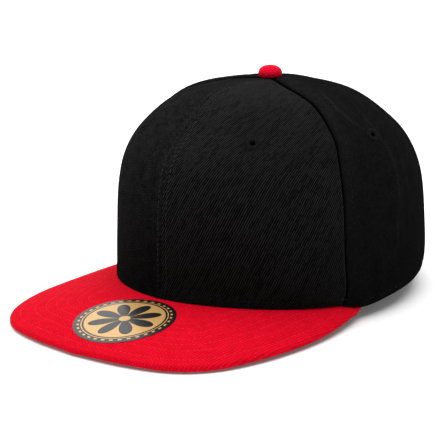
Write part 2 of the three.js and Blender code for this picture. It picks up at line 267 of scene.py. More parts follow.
def applyModifier(piece, kind, **settings):
    modifier = piece.modifiers.new(kind.lower(), kind)
    for key, value in settings.items():
        setattr(modifier, key, value)
    deselectAll()
    piece.select_set(True)
    bpy.context.view_layer.objects.active = piece
    bpy.ops.object.modifier_apply(modifier=modifier.name)


def readPoints(piece):
    points = np.zeros(len(piece.data.vertices) * 3)
    piece.data.vertices.foreach_get("co", points)
    return points.reshape(-1, 3)


def stand(points):  # from millimetres on the upright cap to metres in the leaning frame
    turn = np.array(stance)
    return points * mm @ turn[:3, :3].T + turn[:3, 3]


def writePoints(piece, points):
    piece.data.vertices.foreach_set("co", stand(points).ravel())
    piece.data.update()


def writeCoordinates(piece, across, up):  # the cloth's own flat coordinates, in metres
    while piece.data.uv_layers:
        piece.data.uv_layers.remove(piece.data.uv_layers[0])
    layer = piece.data.uv_layers.new(name="cloth")
    corners = np.zeros(len(piece.data.loops), int)
    piece.data.loops.foreach_get("vertex_index", corners)
    layer.data.foreach_set("uv", (np.stack([across, up], -1)[corners] * mm).ravel())


def spread(count, pull):  # shares from 0 to 1, closer together near both ends
    t = np.linspace(0, 1, count + 1)
    return t - pull * np.sin(2 * np.pi * t) / (2 * np.pi)


def flatWall(name, columns, levels):  # a grid with a back face, to be moved into shape point by point
    deselectAll()
    bpy.ops.mesh.primitive_grid_add(x_subdivisions=columns, y_subdivisions=levels, size=1)
    piece = lastAdded(name)
    applyModifier(piece, "SOLIDIFY", thickness=0.1, offset=-1)
    points = readPoints(piece)
    i = np.rint((points[:, 0] + 0.5) * columns).astype(int)
    j = np.rint((points[:, 1] + 0.5) * levels).astype(int)
    return piece, i, j, points[:, 2] < -0.05


def arcs(points, axis):  # lengths along the grid's lines
    steps = np.linalg.norm(np.diff(points, axis=axis), axis=-1)
    pad = [(0, 0), (0, 0)]
    pad[axis] = (1, 0)
    return np.cumsum(np.pad(steps, pad), axis=axis)


def finishPiece(piece, material, slot, *nodes, angle=60):
    deselectAll()
    piece.select_set(True)
    bpy.context.view_layer.objects.active = piece
    bpy.ops.object.shade_smooth_by_angle(angle=math.radians(angle))
    piece.data.materials.clear()
    piece.data.materials.append(material)
    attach(piece, "root")
    if nodes:
        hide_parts(*nodes)


# Materials

def linear(code):  # sRGB hex to linear
    shares = [int(code[k:k + 2], 16) / 255 for k in (1, 3, 5)]
    return tuple(s / 12.92 if s <= 0.04045 else ((s + 0.055) / 1.055) ** 2.4 for s in shares) + (1,)


def addNode(tree, kind, inputs=None, **settings):  # a node given as an input stands for its first output
    node = tree.nodes.new(kind)
    for key, value in settings.items():
        setattr(node, key, value)
    for key, value in (inputs or {}).items():
        if isinstance(value, bpy.types.Node):
            value = value.outputs[0]
        if isinstance(value, bpy.types.NodeSocket):
            tree.links.new(value, node.inputs[key])
        else:
            node.inputs[key].default_value = value
    return node


def newMaterial(name, inputs):
    material = bpy.data.materials.new(name)
    material.use_nodes = True
    shader = material.node_tree.nodes["Principled BSDF"]
    for key, value in inputs.items():
        shader.inputs[key].default_value = value
    return material, material.node_tree, shader


mathNode, noiseNode, dotNode = "ShaderNodeMath", "ShaderNodeTexNoise", "ShaderNodeTexWhiteNoise"


# Cotton twill: raised diagonal ribs, each a chain of short yarn floats, matt with a soft bloom.
# Its ribs are too fine for the render, so they are drawn as coarse as they need to show.
def twillMaterial(name, look):
    material, tree, shader = newMaterial(name, {
        "Roughness": look["roughness"], "Specular IOR Level": look["gloss"], "Sheen Weight": look["sheen"],
        "Sheen Roughness": look["sheenRoughness"], "Sheen Tint": linear(look["sheenTint"])})
    place = addNode(tree, "ShaderNodeUVMap", uv_map="cloth")
    turned = addNode(tree, "ShaderNodeMapping", {
        "Vector": place, "Rotation": (0, 0, -math.radians(look["ribAngle"]))})
    split = addNode(tree, "ShaderNodeSeparateXYZ", {0: turned})
    drift = addNode(tree, noiseNode, {"Vector": place, "Scale": 1 / (look["driftSize"] * mm), "Detail": 1.0})
    fuzz = addNode(tree, noiseNode, {"Vector": place, "Scale": 1 / (look["fuzzSize"] * mm), "Detail": 3.0})
    blotch = addNode(tree, noiseNode, {"Vector": place, "Scale": 1 / (look["blotchSize"] * mm), "Detail": 2.0})

    # Ribs, wandering a little
    wander = addNode(tree, mathNode, {0: drift, 1: 0.5}, operation="SUBTRACT")
    moved = addNode(tree, mathNode, {0: wander, 1: look["drift"] * mm, 2: split.outputs["Y"]},
                    operation="MULTIPLY_ADD")
    across = addNode(tree, mathNode, {0: moved, 1: look["ribPitch"] * mm}, operation="DIVIDE")
    ribNumber = addNode(tree, mathNode, {0: across}, operation="FLOOR")
    ribShare = addNode(tree, mathNode, {0: across}, operation="FRACT")
    ribTurn = addNode(tree, mathNode, {0: ribShare, 1: math.pi}, operation="MULTIPLY")
    ribWave = addNode(tree, mathNode, {0: ribTurn}, operation="SINE")
    ribTop = addNode(tree, mathNode, {0: ribWave, 1: look["ribSharp"]}, operation="POWER")

    # Yarn floats along each rib, starting anywhere
    ribChance = addNode(tree, dotNode, {"W": ribNumber}, noise_dimensions="1D")
    lengthwise = addNode(tree, mathNode, {0: split.outputs["X"], 1: look["floatLength"] * mm}, operation="DIVIDE")
    shifted = addNode(tree, mathNode, {0: ribChance, 1: look["ribOffset"], 2: lengthwise},
                      operation="MULTIPLY_ADD")
    floatNumber = addNode(tree, mathNode, {0: shifted}, operation="FLOOR")
    floatShare = addNode(tree, mathNode, {0: shifted}, operation="FRACT")
    floatTurn = addNode(tree, mathNode, {0: floatShare, 1: math.pi}, operation="MULTIPLY")
    floatTop = addNode(tree, mathNode, {0: floatTurn}, operation="SINE")
    yarn = addNode(tree, mathNode, {0: floatTop, 1: look["floatDepth"], 2: 1 - look["floatDepth"]},
                   operation="MULTIPLY_ADD")
    height = addNode(tree, mathNode, {0: ribTop, 1: yarn}, operation="MULTIPLY")

    # Uneven yarn, fuzz and blotches
    cell = addNode(tree, "ShaderNodeCombineXYZ", {0: ribNumber, 1: floatNumber})
    chance = addNode(tree, dotNode, {"Vector": cell}, noise_dimensions="2D")
    uneven = addNode(tree, mathNode, {0: chance, 1: look["yarnChance"], 2: 1 - look["yarnChance"]},
                     operation="MULTIPLY_ADD")
    fuzzGain = addNode(tree, mathNode, {0: fuzz, 1: look["fuzz"], 2: 1 - look["fuzz"] / 2},
                       operation="MULTIPLY_ADD")
    yarnLight = addNode(tree, mathNode, {0: height, 1: uneven}, operation="MULTIPLY")
    light = addNode(tree, mathNode, {0: yarnLight, 1: fuzzGain}, operation="MULTIPLY")
    strength = addNode(tree, mathNode, {0: light, 1: look["contrast"], 2: look["base"]}, operation="MULTIPLY_ADD")
    patch = addNode(tree, mathNode, {0: blotch, 1: 0.5}, operation="SUBTRACT")
    mixed = addNode(tree, mathNode, {0: patch, 1: look["blotch"], 2: strength}, operation="MULTIPLY_ADD")
    # The ribs' heights set the colour too: paler on the ribs is painted light and darker in the grooves painted
    # shade, while the yarn's unevenness, fuzz and blotches are its own tone
    shown = addNode(tree, "ShaderNodeMix", {
        "Factor": mixed, "A": linear(look["groove"]), "B": linear(look["rib"])},
        data_type="RGBA", clamp_factor=True).outputs["Result"]

    if "paintedLightTop" in look:  # painted light and painted shade: the crown is coloured paler at its top than at its rim
        middle = addNode(tree, "ShaderNodeSeparateXYZ", {0: addNode(tree, "ShaderNodeTexCoord").outputs["Object"]})
        paintedHeightLight = addNode(tree, "ShaderNodeMapRange", {
            "Value": middle.outputs["Z"], "From Min": look["paintedLightFrom"] * mm, "From Max": look["paintedLightTo"] * mm,
            "To Min": look["paintedShadeFoot"], "To Max": look["paintedLightTop"]})
        # The cloth's painted highlights and painted shade, read from a point attribute, scale the colour too
        paintedLightAndShade = addNode(tree, "ShaderNodeAttribute", attribute_name="paintedLightAndShade").outputs["Fac"]
        gain = addNode(tree, mathNode, {0: paintedLightAndShade, 1: 1.0}, operation="ADD")
        paintedLight = addNode(tree, mathNode, {0: paintedHeightLight, 1: gain}, operation="MULTIPLY")
        shown = addNode(tree, "ShaderNodeVectorMath", {0: shown, "Scale": paintedLight}, operation="SCALE").outputs[0]
    tree.links.new(shown, shader.inputs["Base Color"])

    grain = addNode(tree, mathNode, {0: fuzz, 1: look["fuzz"], 2: height}, operation="MULTIPLY_ADD")
    bump = addNode(tree, "ShaderNodeBump", {
        "Height": grain, "Strength": look["bump"], "Distance": look["ribRise"] * mm})
    tree.links.new(bump.outputs[0], shader.inputs["Normal"])
    return material


blackTwill = {
    "ribAngle": 64, "ribPitch": 1.28, "ribSharp": 2.6, "ribOffset": 7.0, "floatLength": 4.5, "floatDepth": 0.35,
    "yarnChance": 0.6, "drift": 1.0, "driftSize": 14, "fuzz": 0.6, "fuzzSize": 0.7, "blotch": 0.15,
    "blotchSize": 11, "contrast": 2.1, "base": -0.12, "groove": "#000000", "rib": "#1e1e1e", "bump": 1.0,
    "ribRise": 0.3, "roughness": 0.9, "gloss": 0.03, "sheen": 0.05, "sheenRoughness": 0.3,
    "sheenTint": "#e0e0e0", "paintedLightFrom": 20, "paintedLightTo": 130,
}
# The crown's cloth, coloured paler with height: painted light at the top, painted shade at the rim
crownTwill = dict(blackTwill, paintedShadeFoot=0.65, paintedLightTop=1.8)
# A copy of the crown's cloth for the wearer's right front panel, painted as more brightly lit: paler towards its top
# and with fainter ribs
farPanelLitTwill = dict(blackTwill, ribPitch=0.9, floatLength=1.6, floatDepth=0.8, yarnChance=0.7, contrast=1.0,
                  base=0.12, groove="#020202", rib="#1c1c1c", ribRise=0.12, blotch=0.5, blotchSize=6,
                  gloss=0.0, sheen=0.02, paintedShadeFoot=0.8, paintedLightTop=2.6)
softTwill = dict(farPanelLitTwill, ribAngle=108, ribPitch=1.1, contrast=0.75, base=0.15, bump=0.6, groove="#040404",
                 rib="#1b1b1b", fuzz=0.8, fuzzSize=0.6, blotch=0.25, blotchSize=9, sheen=0.01, paintedShadeFoot=0.95,
                 paintedLightTop=1.7)
peakTwill = dict(blackTwill, ribAngle=85, ribPitch=1.6, ribSharp=1.0, floatLength=1.9, floatDepth=0.75,
                 contrast=0.9, base=0.12, groove="#a80010", rib="#ea0629", ribRise=0.15, bump=0.7, gloss=0.05,
                 sheen=0.02, sheenTint="#ffb0b0", blotch=0.35, blotchSize=7, fuzz=1.0, yarnChance=0.45,
                 drift=1.6, driftSize=9)
buttonTwill = dict(peakTwill, ribAngle=40, ribPitch=1.3, floatLength=2.2, contrast=1.2, groove="#b00014",
                   rib="#ff1038", sheen=0.05)
underTwill = dict(softTwill, groove="#0a0a0b", rib="#1c1c1e")

frontCloth = twillMaterial("stiffened black cotton twill", crownTwill)
farPanelLitCloth = twillMaterial("stiffened black cotton twill, painted as brightly lit", farPanelLitTwill)
sideCloth = twillMaterial("soft black cotton twill", softTwill)
peakCloth = twillMaterial("red cotton twill over board", peakTwill)
buttonCloth = twillMaterial("red cotton twill, cut small", buttonTwill)
underCloth = twillMaterial("dark under cloth", underTwill)


# Thread and plastic: a fine even grain, with painted shade in its hollows, where its bump is low
def grainedMaterial(name, look):
    material, tree, shader = newMaterial(name, {
        "Roughness": look["roughness"], "Specular IOR Level": look["gloss"]})
    place = addNode(tree, "ShaderNodeTexCoord").outputs["Object"]
    grain = addNode(tree, noiseNode, {"Vector": place, "Scale": 1 / (look["grainSize"] * mm), "Detail": 2.0})
    # The grain darkens the colour where the bump is low: painted shade
    colour = addNode(tree, "ShaderNodeMix", {
        "Factor": grain, "A": linear(look["dark"]), "B": linear(look["light"])}, data_type="RGBA")
    tree.links.new(colour.outputs["Result"], shader.inputs["Base Color"])
    bump = addNode(tree, "ShaderNodeBump", {
        "Height": grain, "Strength": look["bump"], "Distance": look["grainRise"] * mm})
    tree.links.new(bump.outputs[0], shader.inputs["Normal"])
    return material


# Polyester sewing thread, of twisted plies, a little brighter than the cloth it lies in
threadLook = {"dark": "#080809", "light": "#19191b", "grainSize": 0.5, "grainRise": 0.1, "bump": 0.5,
              "roughness": 0.85, "gloss": 0.05}
blackThread = grainedMaterial("black polyester thread", threadLook)
# The same black thread coloured paler, as painted sheen, for the rows by the front seams, the centre seam and the
# hem; its lower roughness is its own
sheenedThread = grainedMaterial("black polyester thread, paler for painted sheen", dict(
    threadLook, dark="#121213", light="#303033", roughness=0.7, gloss=0.08))
redThread = grainedMaterial("red polyester thread", dict(
    threadLook, dark="#c40a24", light="#e62240", roughness=0.6, gloss=0.1))

# Moulded polyethylene: even, faintly waxy, with a fine mould grain
plasticLook = {"dark": "#0a0a0b", "light": "#161617", "grainSize": 0.4, "grainRise": 0.05, "bump": 0.25,
               "roughness": 0.42, "gloss": 0.5}
plastic = grainedMaterial("black moulded plastic", plasticLook)


# Crown panels

panelLooks = {
    "front": {"from": "front", "to": "frontSide", "eyelet": 0.485, "cloth": frontCloth, "slack": 0.1,
              "fromRow": 3, "toRow": None, "fromRaise": 0.25, "toRaise": 0.0, "fromRoll": 0.3, "toRoll": 1.9},
    "side": {"from": "frontSide", "to": "rearSide", "eyelet": 0.394, "cloth": sideCloth, "slack": 0.1,
             "fromRow": 5.5, "toRow": 3, "fromRaise": 0.45, "toRaise": 0.25, "fromRoll": 1.9, "toRoll": 0.8},
    "rear": {"from": "rearSide", "to": "rear", "eyelet": 0.5, "cloth": sideCloth, "slack": 0.15,
             "fromRow": 3, "toRow": 3, "fromRaise": 0.25, "toRaise": 0.25, "fromRoll": 0.8, "toRoll": 0.6},
}
sewing = {
    "columns": 84, "levels": 170, "columnPull": 0.88, "levelPull": 0.75, "leastWall": 0.15,
    "hemRoll": 1.2, "hemRow": 4.8, "hemRaise": 0.35, "hemFall": (0.3, 1.8), "seamFall": (0.4, 2.2), "archRow": 4.0,
    "stitchPitch": 3.0, "stitchLength": 2.3, "stitchDip": 0.25, "dipWidth": 0.6, "threadFlatness": 0.8,
    "pucker": 0.06, "seamPucker": 5, "hemPucker": 3, "seamCalm": 12, "hemCalm": 15,
}

# Puffs and hollows of the cloth, with painted highlights on its folds and creases and painted shade in its seam's
# groove; pairs are where a change starts and ends
foldsAndPaintedLight = {
    "fold": 0.25, "foldHighlightNear": (1.5, 3), "foldHighlightFar": (5, 11), "foldHighlightRows": (0.3, 0.6),
    "grooveShade": 0.9, "grooveShadeWidth": (0.2, 1.2), "grooveShadeFoot": 0.55, "grooveShadeRows": (0.3, 0.8),
    "puff": 1.0, "puffNear": (1.5, 5), "puffFar": (8, 16), "puffStart": (0.5, 0.62), "puffEnd": (0.82, 0.93),
    "hollow": 0.35, "hollowWidth": 2.6, "creaseHighlightWidth": 0.8,
}

# Crease lines of the side panels, thin and raised, by the angle and row of each bend, each with a painted highlight
# along its ridge
creases = [
    {"width": 1.3, "rise": 0.95, "paintedLight": 0.9,
     "line": [(85.3, 0.813), (80, 0.768), (78.1, 0.72), (81, 0.69), (83.4, 0.661), (84.7, 0.638)]},
    {"width": 1.3, "rise": 0.85, "paintedLight": 0.7,
     "line": [(98.1, 0.749), (93.2, 0.696), (91.5, 0.645), (92.2, 0.588), (94.2, 0.522), (94.8, 0.434),
              (93.1, 0.318), (92.5, 0.266), (91.5, 0.2)]},
    {"width": 1.8, "rise": 0.5, "paintedLight": 0.2, "line": [(102, 0.56), (101, 0.47), (102.5, 0.38), (101, 0.28)]},
]


def roll(distance, radius):  # depth of a rounded fold at a distance from its edge
    t = 1 - np.clip(distance / radius, 0, 1)
    return radius * (1 - np.sqrt(np.clip(1 - t * t, 0, 1)))


def rowDip(distance, row):  # sewing presses the cloth in along its row
    return sewing["stitchDip"] * np.exp(-((distance - row) / sewing["dipWidth"]) ** 2)


def raised(distance, row, rise, fall):  # the allowance under the cloth ends past the stitch row
    return rise * (1 - smoothStep(row + fall[0], row + fall[1], distance)) - rowDip(distance, row)


def seamRise(distance, row, rise):
    return 0 * distance if row is None else raised(distance, row, rise, sewing["seamFall"])


def creaseRise(angle, row, spot):  # ridges that hanging cloth keeps from its folds, with a painted highlight along each
    turn, rise, paintedLight = np.abs(angle), 0 * angle, 0 * angle
    radius = np.hypot(spot[..., 0], spot[..., 1] - cap["apexSetback"])
    for crease in creases:
        bends = np.array(crease["line"])[::-1]
        middle = np.interp(row, bends[:, 1], bends[:, 0])
        share = np.clip((row - bends[0, 1]) / (bends[-1, 1] - bends[0, 1]), 0, 1)
        away = np.radians(turn - middle) * radius / crease["width"]
        hollow = foldsAndPaintedLight["hollow"] * np.exp(-(away / foldsAndPaintedLight["hollowWidth"]) ** 2)
        strength = np.sqrt(np.sin(np.pi * share))
        rise = rise + crease["rise"] * (np.exp(-away ** 2) - hollow) * strength
        # A painted highlight along the crease's ridge
        paintedLight = paintedLight + crease["paintedLight"] * np.exp(-(away / foldsAndPaintedLight["creaseHighlightWidth"]) ** 2) * strength
    return rise, paintedLight


def strip(distance, near, far):  # 1 between two soft edges and 0 beyond them
    return smoothStep(*near, distance) * (1 - smoothStep(*far, distance))


def seamPuff(row, distance):  # the side panel stands up behind its front seam near the top
    height = strip(row, foldsAndPaintedLight["puffStart"], foldsAndPaintedLight["puffEnd"])
    return foldsAndPaintedLight["puff"] * height * strip(distance, foldsAndPaintedLight["puffNear"], foldsAndPaintedLight["puffFar"])


def paintedFoldHighlight(row, distance):  # a painted highlight on the cloth that stands up
    height = smoothStep(*foldsAndPaintedLight["foldHighlightRows"], row)
    return foldsAndPaintedLight["fold"] * height * strip(distance, foldsAndPaintedLight["foldHighlightNear"], foldsAndPaintedLight["foldHighlightFar"])


def paintedGrooveShade(row, distance):  # painted shade in the groove of the seam, lighter towards the rim
    height = foldsAndPaintedLight["grooveShadeFoot"] + (1 - foldsAndPaintedLight["grooveShadeFoot"]) * smoothStep(*foldsAndPaintedLight["grooveShadeRows"], row)
    return foldsAndPaintedLight["grooveShade"] * (1 - smoothStep(*foldsAndPaintedLight["grooveShadeWidth"], distance)) * height


def rimUnder(spot):  # height of the rim below a place on the crown
    return rimHeight(np.degrees(np.arctan2(spot[..., 0], -(spot[..., 1] - cap["apexSetback"]))))


def edgeDistance(spot, name):  # from the rim or the half-moon opening
    if name != "rear":
        return spot[..., 2] - spot[:1, :, 2]
    halfWidth, height = cap["openingHalfWidth"], cap["openingHeight"]
    reach = np.hypot(spot[..., 0] / halfWidth, spot[..., 2] / height)
    slope = np.hypot(spot[..., 0] / halfWidth ** 2, spot[..., 2] / height ** 2) / reach
    return np.minimum(spot[..., 2] - rimUnder(spot), (reach - 1) / slope)


def slackness(angle, row, amount):  # slow unevenness of hanging cloth
    return amount * (np.sin(angle / 7.3 + 3.1 * row) * np.sin(9.7 * row + angle / 31)
                     + 0.6 * np.sin(angle / 3.9 - 7.9 * row + 1.2))


def panelColumns(name):  # shares of the panel's width, closer together at its seams
    count, pull = sewing["columns"], sewing["columnPull"]
    if name != "rear":
        return spread(count, pull)
    start, end = seams["rearSide"]["angle"], seams["rear"]["angle"]
    foot = end - math.degrees(math.asin(cap["openingHalfWidth"] / cap["rimHalfWidth"]))
    flank = (foot - start) / (end - start)
    turn = np.linspace(0, np.pi / 2, count // 2 + 1)[1:]
    x = cap["openingHalfWidth"] * np.cos(turn)
    arch = (end - np.degrees(np.arcsin(x / cap["rimHalfWidth"])) - start) / (end - start)
    return np.concatenate([spread(count // 2, pull) * flank, arch])


def panelSurface(name, share, v, side):
    look = panelLooks[name]
    start = np.zeros_like(share)
    if name == "rear":
        span = seams["rear"]["angle"] - seams["rearSide"]["angle"]
        start = archRow(seams["rearSide"]["angle"] + span * share, cap["openingHalfWidth"], cap["openingHeight"])
    row = start[None, :] + (topRow - start[None, :]) * v[:, None]
    first, last = seamAngle(look["from"], row), seamAngle(look["to"], row)
    angle = first + (last - first) * share[None, :]
    return side * angle, row, side * first, side * last


def clothPanel(name, sideName, side):
    look = panelLooks[name]
    share = panelColumns(name)
    columns, levels = len(share) - 1, sewing["levels"]
    piece, i, j, inner = flatWall(f"crown_cloth_{name}_{sideName}", columns, levels)
    if side < 0:
        i = columns - i
    angle, row, first, last = panelSurface(name, share, spread(levels, sewing["levelPull"]), side)
    spot, normal = crownPoint(angle, row), crownNormal(angle, row)
    radius = np.hypot(spot[..., 0], spot[..., 1] - cap["apexSetback"])
    fromSeam = np.radians(np.abs(angle - first)) * radius
    toSeam = np.radians(np.abs(last - angle)) * radius
    nearSeam, edge = np.minimum(fromSeam, toSeam), edgeDistance(spot, name)
    upward, across = arcs(spot, 0) + spot[:1, :, 2], arcs(spot, 1)

    # Seam allowances, hem, puckers and slack
    hem = sewing["hemRow"] if name != "rear" else sewing["archRow"]
    beat = 2 * np.pi / sewing["stitchPitch"]
    rise = seamRise(fromSeam, look["fromRow"], look["fromRaise"])
    rise += seamRise(toSeam, look["toRow"], look["toRaise"])
    rise += raised(edge, hem, sewing["hemRaise"], sewing["hemFall"])
    rise += sewing["pucker"] * np.sin(upward * beat) * np.exp(-(nearSeam / sewing["seamPucker"]) ** 2)
    rise += sewing["pucker"] * np.sin(across * beat) * np.exp(-((edge - hem) / sewing["hemPucker"]) ** 2)
    calm = smoothStep(0, sewing["seamCalm"], nearSeam) * smoothStep(0, sewing["hemCalm"], edge)
    rise += slackness(angle, row, look["slack"]) * calm

    # Creases, with painted highlights and painted shade
    paintedLightAndShade = 0 * rise
    if name == "side":
        ridge, paintedLightAndShade = creaseRise(angle, row, spot)
        rise += ridge + seamPuff(row, fromSeam)
        paintedLightAndShade += paintedFoldHighlight(row, fromSeam)
    if name != "rear":
        paintedLightAndShade -= paintedGrooveShade(row, fromSeam if name == "side" else toSeam)

    # Turned edges; the inner edge of the hem rolls a third as much
    rolled = np.maximum(roll(fromSeam, look["fromRoll"]), roll(toSeam, look["toRoll"]))
    rolled = np.minimum(rolled, cap["clothWall"] - sewing["leastWall"])
    outerDepth = np.maximum(rolled, roll(edge, sewing["hemRoll"])) - rise
    innerDepth = cap["clothWall"] - roll(edge, sewing["hemRoll"]) / 3
    depth = np.where(inner, innerDepth[j, i], outerDepth[j, i])
    writePoints(piece, spot[j, i] - normal[j, i] * depth[:, None])
    writeCoordinates(piece, across[j, i], upward[j, i])
    # The painted highlights and painted shade go to the cloth's colour through a point attribute
    piece.data.attributes.new("paintedLightAndShade", "FLOAT", "POINT").data.foreach_set("value", paintedLightAndShade[j, i])
    cutEyelet(piece, name, side)
    # The wearer's right front panel takes the copy of the cloth painted as more brightly lit
    cloth = farPanelLitCloth if name == "front" and side < 0 else look["cloth"]
    finishPiece(piece, cloth, "black_twill", f"crown_panel_{name}_{sideName}")


eyelet = {"radius": 4.1, "hole": 1.4, "rise": 0.75, "threads": 26, "ridge": 0.16, "ridgeMiddle": 0.6,
          "ridgeSpread": 0.6, "cut": 2.6, "cutDepth": 12}


def eyeletPlace(name, side):
    look = panelLooks[name]
    row = cap["eyeletRow"]
    first, last = seamAngle(look["from"], row), seamAngle(look["to"], row)
    angle = side * (first + (last - first) * look["eyelet"])
    spot, normal = crownPoint(angle, np.array(row)), crownNormal(np.array(angle), np.array(row))
    turn = Vector(normal).to_track_quat("Z", "Y").to_matrix().to_4x4()
    return Matrix.Translation(Vector(spot) * mm) @ turn


def cutEyelet(piece, name, side):
    deselectAll()
    bpy.ops.mesh.primitive_cylinder_add(vertices=24, radius=eyelet["cut"] * mm, depth=eyelet["cutDepth"] * mm)
    cutter = lastAdded("eyelet_cutter")
    cutter.matrix_world = stance @ eyeletPlace(name, side)
    bpy.context.view_layer.update()
    applyModifier(piece, "BOOLEAN", object=cutter, operation="DIFFERENCE", solver="EXACT")
    bpy.data.objects.remove(cutter)


def embroideredEyelet(name, sideName, side):  # a ring of close radial stitches round the hole
    deselectAll()
    middle, half = (eyelet["radius"] + eyelet["hole"]) / 2, (eyelet["radius"] - eyelet["hole"]) / 2
    bpy.ops.mesh.primitive_torus_add(major_segments=eyelet["threads"] * 6, minor_segments=14,
                                     major_radius=middle, minor_radius=half)
    piece = lastAdded(f"eyelet_thread_{name}_{sideName}")
    points = readPoints(piece)
    turn = np.arctan2(points[:, 1], points[:, 0])
    ridge = 1 + eyelet["ridge"] * (np.abs(np.cos(turn * eyelet["threads"] / 2)) - eyelet["ridgeMiddle"])
    reach = np.hypot(points[:, 0], points[:, 1])
    reach = middle + (reach - middle) * (1 + (ridge - 1) * eyelet["ridgeSpread"])
    height = points[:, 2] / half * eyelet["rise"] * ridge
    shaped = np.stack([reach * np.cos(turn), reach * np.sin(turn), height], -1)
    place = np.array(eyeletPlace(name, side))
    writePoints(piece, shaped @ place[:3, :3].T + place[:3, 3] / mm)
    finishPiece(piece, blackThread, "black_thread", f"eyelet_{name}_{sideName}")


for sideName, side in (("left", 1), ("right", -1)):
    for name in panelLooks:
        clothPanel(name, sideName, side)
        embroideredEyelet(name, sideName, side)
    print("Crown, wearer's", sideName)


# Stitches: one small rounded bar, copied along every row into one joined mesh

threadRows = {
    "foot": 0.03, "top": 0.02, "points": 400, "hemFrom": 0.8, "hemShort": 3, "hemPoints": 500,
    "archFrom": 0.12, "archSwell": 1.03, "archPoints": 200,
    "sideRows": (-3, 3), "rearRow": -3, "frontRow": 5.2, "centreRows": (1.2, 3.4),
    "plainThick": 0.3, "seamThick": 0.36, "centreThick": 0.26, "peakThick": 0.22,
}


def stitchShape():
    deselectAll()
    bpy.ops.mesh.primitive_uv_sphere_add(segments=8, ring_count=5, radius=1)
    shape = lastAdded("stitch")
    points = readPoints(shape)
    faces = [list(face.vertices) for face in shape.data.polygons]
    bpy.data.objects.remove(shape)
    return points, faces


stitchPoints, stitchFaces = stitchShape()


def joinStitches(name, paths, material, thickness, slot="black_thread"):
    pitch, half = sewing["stitchPitch"], sewing["stitchLength"] / 2
    points, faces = [], []
    for line, normals in paths:
        length = np.concatenate([[0], np.cumsum(np.linalg.norm(np.diff(line, axis=0), axis=1))])
        at = lambda values, s: np.stack([np.interp(s, length, values[:, k]) for k in range(3)], -1)
        places = np.arange(pitch / 2, length[-1] - pitch / 2, pitch)
        ahead = unit(at(line, places + half) - at(line, places - half))
        above = unit(at(normals, places))
        aside = unit(np.cross(above, ahead))
        for centre, t, s, n in zip(at(line, places), ahead, aside, above):
            bar = np.array([s * thickness, n * thickness * sewing["threadFlatness"], t * half])
            faces += [[k + len(points) * len(stitchPoints) for k in face] for face in stitchFaces]
            points.append(centre + stitchPoints @ bar)
    mesh = bpy.data.meshes.new(name)
    mesh.from_pydata(stand(np.concatenate(points)).tolist(), [], faces)
    piece = bpy.data.objects.new(name, mesh)
    bpy.context.scene.collection.objects.link(piece)
    finishPiece(piece, material, slot)


def seamPath(seam, side, away):  # along a crown seam, at a distance to either hand
    start = 0.0
    if seam == "rear":
        start = float(archRow(np.array(180.0), cap["openingHalfWidth"], cap["openingHeight"]))
    row = np.linspace(start + threadRows["foot"], topRow - threadRows["top"], threadRows["points"])
    angle = seamAngle(seam, row)
    angle = side * (angle + np.sign(away) * angleOf(abs(away), angle, row))
    spot, normal = crownPoint(angle, row), crownNormal(angle, row)
    if seam == "frontSide":
        spot = spot + normal * seamPuff(row, np.full_like(row, away))[:, None]
    return spot, normal


def hemPath(side):  # above the rim, from the front to the foot of the opening
    foot = 180 - math.degrees(math.asin(cap["openingHalfWidth"] / cap["rimHalfWidth"])) - threadRows["hemShort"]
    angle = side * np.linspace(threadRows["hemFrom"], foot, threadRows["hemPoints"])
    row = np.full_like(angle, rowAt("height", sewing["hemRow"] / cap["crownTop"]))
    return crownPoint(angle, row), crownNormal(angle, row)


def archPath(side):  # round the half-moon opening
    away = sewing["archRow"]
    wide = cap["openingHalfWidth"] + away
    x = wide * np.cos(np.linspace(threadRows["archFrom"], np.pi / 2, threadRows["archPoints"]))
    angle = side * (180 - np.degrees(np.arcsin(x / cap["rimHalfWidth"] / threadRows["archSwell"])))
    row = archRow(angle, wide, cap["openingHeight"] + away)
    return crownPoint(angle, row), crownNormal(angle, row)


crownPaths, sides = [], (1, -1)
for side in sides:
    crownPaths += [seamPath("rearSide", side, away) for away in threadRows["sideRows"]]
    crownPaths += [seamPath("rear", side, threadRows["rearRow"]), archPath(side)]
seamPaths = [seamPath("frontSide", side, threadRows["frontRow"]) for side in sides]
centrePaths = [seamPath("front", side, away) for side in sides for away in threadRows["centreRows"]]
centrePaths += [hemPath(side) for side in sides]
joinStitches("crown_stitches", crownPaths, blackThread, threadRows["plainThick"])
joinStitches("seam_stitches", seamPaths, sheenedThread, threadRows["seamThick"])
joinStitches("centre_stitches", centrePaths, sheenedThread, threadRows["centreThick"])
print("Crown stitched")


# Peak

peakLook = {
    "columns": 220, "levels": 110, "underLevels": 40, "levelPull": 0.7, "edgeRadius": 1.5, "underRadius": 0.1,
    "underInset": 4, "coverLap": 0.2, "leastDepth": 0.02, "leastWall": 0.15, "hidden": 14, "roundSide": 0.4,
    "firstRow": 6, "secondRow": 14.5, "rowPitch": 6, "rowCount": 7, "rowDip": 0.22, "dipWidth": 0.7,
    "quilt": 0.12, "quiltEdge": (2, 8), "tipFlatness": 0.95, "tipFrom": 18, "tipTo": 6, "tipThinning": 0.75,
    "thinFrom": 8, "threadSink": 0.1, "threadAhead": 2, "threadAside": 1, "threadSlack": 0.3,
}
peakStitchRows = [peakLook["firstRow"]] + [
    peakLook["secondRow"] + peakLook["rowPitch"] * k for k in range(peakLook["rowCount"] - 1)]


